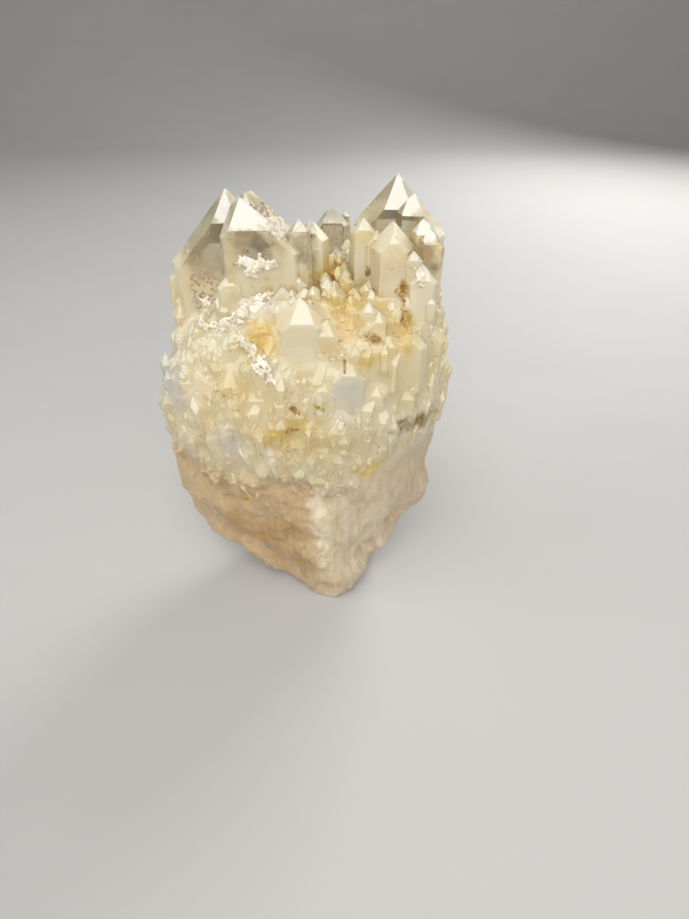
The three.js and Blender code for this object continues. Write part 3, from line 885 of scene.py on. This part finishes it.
# %% The colours of the quartz
MILK = srgb(239, 229, 200)
DEEP_MILK = srgb(229, 211, 168)
STONE = srgb(212, 192, 158)
LEFT_STONE = srgb(190, 158, 111)
RIGHT_STONE = srgb(206, 191, 166)
# painted shade: the colour the far right of the stone is darkened to
SHADED_FAR_RIGHT_STONE = srgb(190, 170, 142)
# painted shade: the colour the foot is darkened to near its bottom
SHADED_LOW_STONE = srgb(186, 165, 136)
FAINT_YELLOW = srgb(228, 203, 136)
COOL_GREY = srgb(204, 203, 197)
TAN_BROWN = srgb(168, 128, 70)
YELLOW = srgb(224, 191, 98)
# a darker yellow for sheltered joints: partly iron stain, partly painted shade
JOINT_STAIN_AND_SHADE = srgb(208, 178, 112)
MOTTLED_STONE = srgb(184, 158, 118)
SUGARY_STONE = srgb(180, 154, 114)
STREAK_WHITE = srgb(240, 228, 204)
# painted highlight: the white of the edge between the two sides of the foot
RIDGE_HIGHLIGHT_WHITE = srgb(242, 234, 214)
DIRT_BROWN = srgb(140, 112, 62)
SPECK_BROWN = srgb(128, 98, 72)
DOT_BROWN = srgb(138, 106, 62)
OCHRE_BROWN = srgb(190, 142, 52)
WORN_WHITE = srgb(212, 205, 186)
FRECKLE_BROWN = srgb(148, 120, 90)
# the white of the frost on the end faces, also used for their painted highlight
FROST_AND_GLINT_WHITE = srgb(246, 242, 230)
GLASS = srgb(250, 248, 242)
YELLOW_GLASS = srgb(244, 226, 178)
print("the deepest yellow as linear:", [round(part, 3) for part in YELLOW])


# %% The finish of the quartz
QUARTZ_INDEX = 1.54
ABSORBED, ABSORPTION = (0.86, 0.83, 0.75, 1), 19.0
TEAR_SCALE, TEAR = 0.35, 7
STONE_FADE, STONE_WAVER = (56, 46), 14
END_FACES_FROM, END_FACES_TO = (0.5, 0.57), (0.74, 0.67)
FACING_FRONT = (0.5, 0.65)
CROWN_RISE, LOW_DOWN = (84, 96), (16, 2)
LEFT_SIDE, RIGHT_SIDE, FAR_RIGHT = (-1, -10), (-3, 5), (12, 24)
SHOULDER_SKIN = (-3.2, -1.8)


def patches(finish, place, spots, soft=0.45):
    """A mask that is 1 inside any of the spots and fades out at their edges."""
    whole = None
    for x, y, z, wide, deep, tall in spots:
        arm = finish.vector("SUBTRACT", place, (x, y, z))
        share = finish.vector("DIVIDE", arm, (wide, deep, tall))
        spot = finish.vector("LENGTH", share, out=1).stepped(1.0, soft)
        whole = spot if whole is None else whole.or_more(spot)
    return whole


def quartz_finish():
    """Milky and clear quartz in one material."""
    finish = Finish("quartz")
    raw = finish.node("ShaderNodeTexCoord", out=3)
    scaled = finish.vector("SCALE", raw)
    scaled.socket.node.inputs["Scale"].default_value = 1 / MM
    place = finish.vector("ADD", scaled, tuple(FOOT_MIDDLE))
    height = finish.node("ShaderNodeSeparateXYZ", {}, {0: place}, out=2)
    to_the_right = finish.node("ShaderNodeSeparateXYZ", {}, {0: place}, out=0)
    normal = finish.node("ShaderNodeNewGeometry", out=3)
    facing_up = finish.node("ShaderNodeSeparateXYZ", {}, {0: normal}, out=2)
    front = (0 - finish.node("ShaderNodeSeparateXYZ", {}, {0: normal}, out=1)).stepped(*FACING_FRONT)
    tears = {"Vector": place, "Scale": TEAR_SCALE, "Detail": 4.0}
    ragged = finish.node("ShaderNodeTexNoise", {}, tears, out=1)
    shift = finish.vector("MULTIPLY", finish.vector("SUBTRACT", ragged, (0.5, 0.5, 0.5)), (TEAR, TEAR, TEAR))
    torn = finish.vector("ADD", place, shift)
    shelter_value = finish.node("ShaderNodeAttribute", {"attribute_name": "shelter"}, out=2)

    veils = finish.clouds(place, 6.0, 5.0, (1, 1, 1.8))
    specks = finish.clouds(place, 0.8, 2.0)
    stone = (height + (veils - 0.5) * STONE_WAVER).stepped(*STONE_FADE)
    frost = facing_up.stepped(*END_FACES_FROM) * facing_up.stepped(*END_FACES_TO) * (1 - stone)
    clear = patches(finish, torn, CLEAR)
    milk = (0.9 + stone * 0.1 - clear * (0.9 - veils * 0.45)).clamped()

    warm = patches(finish, torn, WARM, 0.2)
    ochre = patches(finish, torn, OCHRE, 0.35) * specks.stepped(0.35, 0.5)
    tan = patches(finish, torn, TAN, 0.1)
    dirt = patches(finish, torn, DIRT, 0.1)
    grey = patches(finish, torn, GREY, 0.2)
    # where the painted highlight runs along the edge of the foot
    ridge_highlight = patches(finish, torn, PAINTED_RIDGE_HIGHLIGHT, 0.3)
    speckled = patches(finish, torn, SPECKLED, 0.5) * specks.stepped(0.5, 0.58)
    dots = finish.clouds(place, 1.1, 3.0).stepped(0.66, 0.71) * veils.stepped(0.4, 0.55)
    # painted highlight: a white glint on end faces that look to the front, in a few patches; it also makes
    # them less clear
    end_face_glint = patches(finish, torn, PAINTED_END_GLINTS, 0.6) * frost * front
    faint = patches(finish, torn, FAINT, 0.1)
    # sheltered places between crystals: partly iron stain, partly painted shade
    crevice_stain_and_shade = shelter_value.stepped(0.15, 0.55) * (1 - stone)
    grain = finish.clouds(place, 1.6, 4.0, (1, 1, 1.5))
    streaks = finish.clouds(place, 1.1, 5.0, (1, 1, 9))
    mottled = finish.clouds(place, 5.0, 5.0, (1, 1, 1.5))
    from_the_point = finish.vector("SUBTRACT", place, tuple(SHOULDER_POINT))
    above = finish.vector("DOT_PRODUCT", from_the_point, tuple(SHOULDER_WAY), out=1)
    worn = patches(finish, torn, FROSTED, 0.4) * above.stepped(*SHOULDER_SKIN)
    freckled = worn * specks.stepped(0.47, 0.56)

    crown = height.stepped(*CROWN_RISE)
    # partly the end faces' real frost and partly a painted highlight: whiter where they look to the front
    frost_and_sheen = frost * (1 - warm) * (0.06 + crown * 0.12 + front * (0.12 + crown * 0.16))
    # frost with painted highlight, plus the painted glints
    frost_and_glints = (frost_and_sheen + end_face_glint * 0.5).clamped()
    layers = [  # a mask, its strength and its colour, from the ground up
        (stone, 0.85, STONE),
        (stone * to_the_right.stepped(*LEFT_SIDE), 0.7, LEFT_STONE),
        (stone * to_the_right.stepped(*RIGHT_SIDE), 0.7, RIGHT_STONE),
        # painted shade on the far right of the stone
        (stone * to_the_right.stepped(*FAR_RIGHT), 0.6, SHADED_FAR_RIGHT_STONE),
        # painted shade: darker towards the bottom of the foot
        (height.stepped(*LOW_DOWN), 0.55, SHADED_LOW_STONE),
        (faint, 0.5, FAINT_YELLOW),
        (grey, 0.7, COOL_GREY),
        (tan, 0.85, TAN_BROWN),
        (warm, 0.9, YELLOW),
        # iron stain and painted shade in the sheltered joints
        (crevice_stain_and_shade, 0.6, JOINT_STAIN_AND_SHADE),
        (stone * mottled.stepped(0.44, 0.62), 0.45, MOTTLED_STONE),
        (stone * grain.stepped(0.45, 0.66), 0.2, SUGARY_STONE),
        (stone * streaks.stepped(0.48, 0.66), 0.13, STREAK_WHITE),
        # painted highlight along the edge between the two sides of the foot
        (ridge_highlight, 0.45, RIDGE_HIGHLIGHT_WHITE),
        (dirt * (0.6 + specks * 0.6).clamped(), 1.0, DIRT_BROWN),
        (speckled, 0.7, SPECK_BROWN),
        (dots * (1 - stone * 0.6), 0.65, DOT_BROWN),
        (ochre, 1.0, OCHRE_BROWN),
        (worn, 0.7, WORN_WHITE),
        (freckled, 0.7, FRECKLE_BROWN),
        # frost and painted highlight on the end faces
        (frost_and_glints, 1.0, FROST_AND_GLINT_WHITE),
    ]
    colour = finish.blend(veils.stepped(0.35, 0.68), MILK, DEEP_MILK)
    for mask, strength, tone in layers:
        colour = finish.blend(mask * strength, colour, tone)

    rungs = finish.clouds(place, 0.55, 2.0, (9, 9, 1))
    etched = finish.clouds(place, 0.35, 3.0)
    uneven = rungs * (1 - frost) * 0.6 + etched * (0.2 + frost * 0.5)
    bump = finish.node("ShaderNodeBump", {}, {"Height": uneven, "Strength": 0.45, "Distance": 0.0004})
    smooth_bump = finish.node("ShaderNodeBump", {}, {"Height": rungs, "Strength": 0.2, "Distance": 0.0001})
    rough = (0.22 + frost * 0.2 + stone * 0.1 + ochre * 0.35 + (veils - 0.5) * 0.2).clamped()

    milky_sockets = {
        "Base Color": colour,
        "Roughness": rough,
        "Normal": bump,
        "IOR": QUARTZ_INDEX,
        "Subsurface Weight": 0.8,
        "Subsurface Radius": (1.0, 0.84, 0.58),
        "Subsurface Scale": 0.004,
        "Transmission Weight": 0.3,
    }
    milky = finish.node("ShaderNodeBsdfPrincipled", {}, milky_sockets)
    chips = finish.node("ShaderNodeTexVoronoi", {}, {"Vector": place, "Scale": 0.6})
    sugary = streaks * 0.6 + grain * 0.8 + etched * 0.4 + chips * patches(finish, torn, CHIPPED, 0.4) * 2.5
    sugary_bump = finish.node("ShaderNodeBump", {}, {"Height": sugary, "Strength": 0.6, "Distance": 0.0007})
    stony_sockets = {
        "Base Color": colour,
        "Roughness": (0.3 + grain * 0.25).clamped(),
        "Normal": sugary_bump,
        "IOR": QUARTZ_INDEX,
        "Subsurface Weight": 0.7,
        "Subsurface Radius": (1.0, 0.88, 0.68),
        "Subsurface Scale": 0.002,
    }
    stony = finish.node("ShaderNodeBsdfPrincipled", {}, stony_sockets)
    clouded = finish.node("ShaderNodeMixShader", {}, {0: stone * 0.7, 1: milky, 2: stony})
    glass_colour = finish.blend(warm * 0.5, GLASS, YELLOW_GLASS)
    clear_sockets = {
        "Base Color": glass_colour,
        "Roughness": (0.03 + frost * 0.15 + veils.stepped(0.45, 0.7) * 0.1).clamped(),
        "Normal": smooth_bump,
        "IOR": QUARTZ_INDEX,
        "Transmission Weight": 1.0,
    }
    glass = finish.node("ShaderNodeBsdfPrincipled", {}, clear_sockets)
    stained = ochre + speckled * 0.8 + worn * 0.6 + freckled * 0.4
    covered = (milk + frost * 0.2 + end_face_glint * 0.55 + stained).clamped()
    both = finish.node("ShaderNodeMixShader", {}, {0: covered, 1: glass, 2: clouded})
    absorb = finish.node("ShaderNodeVolumeAbsorption", {}, {"Color": ABSORBED, "Density": ABSORPTION})
    output = finish.tree.nodes.new("ShaderNodeOutputMaterial")
    finish.tree.links.new(both.socket, output.inputs["Surface"])
    finish.tree.links.new(absorb.socket, output.inputs["Volume"])
    return finish.material


quartz = quartz_finish()
print("quartz finish:", len(quartz.node_tree.nodes), "nodes")

# %% [markdown]
# The cluster goes back to metres and takes its finish. It stands for the CAD solid, which stays as the body
# that physics uses. The crusts are dry and dull, so they need no clear part: a plain shader with a colour
# that varies from crumb to crumb, and brown dust in it.

# %% The crusts
def crust_finish(name, pale, deep, dust):
    """A dull crumbly finish in three colours."""
    finish = Finish(name)
    raw = finish.node("ShaderNodeTexCoord", out=3)
    scaled = finish.vector("SCALE", raw)
    scaled.socket.node.inputs["Scale"].default_value = 1 / MM
    wide = finish.clouds(scaled, 2.2, 3.0)
    fine = finish.clouds(scaled, 0.35, 2.0)
    colour = finish.blend(wide.stepped(0.4, 0.62), pale, deep)
    colour = finish.blend(fine.stepped(0.56, 0.66) * 0.75, colour, dust)
    bump = finish.node("ShaderNodeBump", {}, {"Height": fine, "Strength": 0.5, "Distance": 0.0003})
    sockets = {"Base Color": colour, "Roughness": 0.8, "Normal": bump}
    sockets |= {"Subsurface Weight": 0.3, "Subsurface Radius": (1.0, 0.9, 0.75), "Subsurface Scale": 0.0006}
    dull = finish.node("ShaderNodeBsdfPrincipled", {}, sockets)
    output = finish.tree.nodes.new("ShaderNodeOutputMaterial")
    finish.tree.links.new(dull.socket, output.inputs["Surface"])
    return finish.material


SHARP_FROM = 32


def dressed_piece(name, mesh, material):
    """A mesh in survey coordinates as a piece in the scene."""
    corners = np.empty(len(mesh.vertices) * 3)
    mesh.vertices.foreach_get("co", corners)
    mesh.vertices.foreach_set("co", placed(corners.reshape(-1, 3)).ravel())
    mesh.shade_smooth()
    mesh.set_sharp_from_angle(angle=math.radians(SHARP_FROM))
    mesh.update()
    mesh.name = name
    mesh.materials.clear()
    mesh.materials.append(material)
    piece = bpy.data.objects.new(name, mesh)
    bpy.context.collection.objects.link(piece)
    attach(piece, "root")
    return piece


chalk = crust_finish("white_crust", srgb(236, 229, 212), srgb(212, 198, 170), srgb(134, 118, 94))
rust = crust_finish("rusty_crust", srgb(192, 154, 70), srgb(140, 106, 50), srgb(84, 66, 42))
dressed_piece("white_crust", white_crust, chalk)
dressed_piece("rusty_crust", rusty_crust, rust)
dressed = dressed_piece("quartz_cluster_dressed", cluster, quartz)
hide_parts("quartz_cluster")
print("dressed cluster:", len(cluster.polygons), "faces")

# %% [markdown]
# The studio is plain: a pale floor that curves up behind, and five broad lights. The slanting end faces of
# upright quartz that look to the front all look up by the same angle, so lights on that side make them
# flash white together, as they do in the photograph. Two of the lights do that, two fill in from the left
# and from the front, and a low one comes from behind, which the clear tips can pass on.

# %% The floor and the backdrop
def studio_floor():
    """A pale sheet that lies flat and then curves up behind the specimen."""
    front, start, bend, wide, high = -1.5, 0.7, 0.5, 3.0, 3.0
    profile = [(front, 0.0), (start, 0.0)]
    for turn in np.linspace(0.1, math.pi / 2, 14):
        profile.append((start + bend * math.sin(turn), bend - bend * math.cos(turn)))
    profile.append((start + bend, high))
    rows = [(x, y, z) for y, z in profile for x in (-wide, wide)]
    faces = [(2 * i, 2 * i + 1, 2 * i + 3, 2 * i + 2) for i in range(len(profile) - 1)]
    mesh = bpy.data.meshes.new("studio_floor")
    mesh.from_pydata(rows, [], faces)
    mesh.shade_smooth()
    floor = bpy.data.objects.new("studio_floor", mesh)
    bpy.context.collection.objects.link(floor)
    paper = Finish("studio_paper")
    tone = paper.node("ShaderNodeTexNoise", {}, {"Scale": 60.0})
    shade = paper.blend(tone, srgb(174, 173, 170), srgb(180, 179, 176))
    sheet = paper.node("ShaderNodeBsdfPrincipled", {}, {"Base Color": shade, "Roughness": 0.75})
    output = paper.tree.nodes.new("ShaderNodeOutputMaterial")
    paper.tree.links.new(sheet.socket, output.inputs["Surface"])
    mesh.materials.append(paper.material)
    return floor


studio_floor()


# %% The lights
def softbox(name, place, aim, size, power):
    """A square light that looks at a point."""
    light = bpy.data.lights.new(name, "AREA")
    light.size, light.energy = size, power
    lamp = bpy.data.objects.new(name, light)
    lamp.location = place
    lamp.rotation_euler = (Vector(aim) - Vector(place)).to_track_quat("-Z", "Y").to_euler()
    bpy.context.collection.objects.link(lamp)
    return lamp


MIDDLE = (0.0, 0.0, 0.06)
LIGHTS = [  # name, place in metres, side in metres, power in watts
    ("light_above", (-0.05, -0.33, 0.78), 0.5, 3.9),
    ("light_on_end_faces", (0.0, -0.56, 0.52), 0.42, 1.3),
    ("light_left", (-0.8, -0.1, 0.35), 0.5, 2.2),
    ("light_in_front", (0.3, -0.75, 0.28), 0.6, 2.4),
    ("light_behind", (0.35, 0.55, 0.4), 0.35, 4),
]
SKY_COLOUR, SKY_STRENGTH = (0.94, 0.93, 0.92, 1), 0.3
for name, place, size, power in LIGHTS:
    softbox(name, place, MIDDLE, size, power)
world = bpy.data.worlds.new("studio_air")
world.use_nodes = True
sky = world.node_tree.nodes["Background"]
sky.inputs["Color"].default_value = SKY_COLOUR
sky.inputs["Strength"].default_value = SKY_STRENGTH
bpy.context.scene.world = world
bpy.context.scene.view_settings.view_transform = "Standard"
print(len(LIGHTS), "lights and an even sky")

# %% [markdown]
# The camera stands where the photo was taken from: close, a little above, and looking down by 38 degrees.
# That close a view makes the foot look small and the crown wide.

# %% The camera
CAMERA_PLACE = (2.9, -114.3, 145.8)
LOOKING_DOWN = 38.0
FOCAL_PIXELS, FRAME_PIXELS = 575.0, 919.0
eye = bpy.data.cameras.new("camera")
eye.lens = eye.sensor_width * FOCAL_PIXELS / FRAME_PIXELS
eye.clip_start = 0.005
camera = bpy.data.objects.new("camera", eye)
camera.location = placed(CAMERA_PLACE)
camera.rotation_euler = (math.radians(90 - LOOKING_DOWN), 0, 0)
bpy.context.collection.objects.link(camera)
bpy.context.scene.camera = camera
print("lens:", round(eye.lens, 2), "mm")
